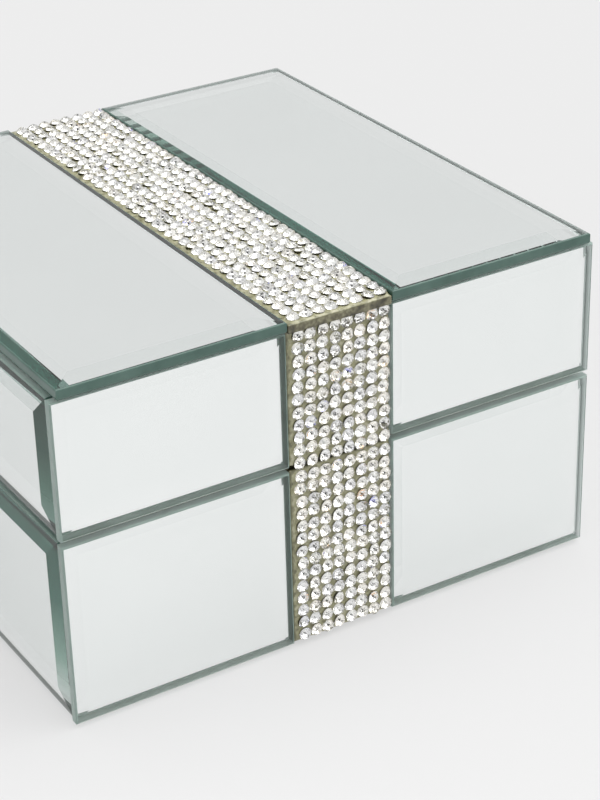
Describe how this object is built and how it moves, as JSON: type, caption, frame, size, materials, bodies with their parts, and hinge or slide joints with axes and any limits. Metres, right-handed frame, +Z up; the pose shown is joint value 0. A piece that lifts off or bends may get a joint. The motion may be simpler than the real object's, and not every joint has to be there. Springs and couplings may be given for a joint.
{
  "type": "mirrored trinket box",
  "caption": "Square hinged box faced in bevelled mirror glass, with a band of faceted stones over the lid and down the front and a soft lining.",
  "frame": {"origin": "centre of the underside, on the plane the box rests on", "axes": "+Z up, -Y to the front, +X to the right seen from the front"},
  "size_m": [0.12, 0.1239, 0.0727],
  "materials": {
    "mirror_glass": "bevelled float glass, silvered on the back, with green polished edges",
    "crystal": "clear faceted stones with foiled backs",
    "stone_backing": "translucent olive resin strip that holds the stones",
    "board": "fine fibreboard, unpainted, glued under the glass",
    "velvet": "short black velvet over card and thin foam",
    "felt": "black felt on the underside",
    "hinge_nickel": "bright nickel plate",
    "screw_steel": "small countersunk screws with a cross recess"
  },
  "bodies": {
    "base": {"base_back_lining": "velvet", "base_back_mirror": "mirror_glass", "base_back_wall": "board", "base_bottom_board": "board", "base_felt_pad": "felt", "base_floor_pad": "velvet", "base_front_band": "stone_backing", "base_front_left_mirror": "mirror_glass", "base_front_lining": "velvet", "base_front_right_mirror": "mirror_glass", "base_front_stones": "crystal", "base_front_wall": "board", "base_hinge_screws": "screw_steel", "base_left_lining": "velvet", "base_left_mirror": "mirror_glass", "base_left_wall": "board", "base_right_lining": "velvet", "base_right_mirror": "mirror_glass", "base_right_wall": "board", "base_rim_velvet": "velvet", "left_hinge_base_leaf": "hinge_nickel", "left_hinge_pin": "hinge_nickel", "right_hinge_base_leaf": "hinge_nickel", "right_hinge_pin": "hinge_nickel"},
    "lid": {"left_hinge_lid_leaf": "hinge_nickel", "lid_back_lining": "velvet", "lid_back_mirror": "mirror_glass", "lid_back_wall": "board", "lid_ceiling_pad": "velvet", "lid_front_band": "stone_backing", "lid_front_left_mirror": "mirror_glass", "lid_front_lining": "velvet", "lid_front_right_mirror": "mirror_glass", "lid_front_stones": "crystal", "lid_front_wall": "board", "lid_hinge_screws": "screw_steel", "lid_left_lining": "velvet", "lid_left_mirror": "mirror_glass", "lid_left_wall": "board", "lid_right_lining": "velvet", "lid_right_mirror": "mirror_glass", "lid_right_wall": "board", "lid_rim_velvet": "velvet", "lid_top_band": "stone_backing", "lid_top_board": "board", "lid_top_left_mirror": "mirror_glass", "lid_top_right_mirror": "mirror_glass", "lid_top_stones": "crystal", "right_hinge_lid_leaf": "hinge_nickel"}
  },
  "joints": [
    {"name": "lid_hinge", "type": "hinge", "parent": "base", "child": "lid", "pos_m": [0, 0.0614, 0.0406], "axis": [-1, 0, 0], "range_deg": [0, 95]}
  ]
}
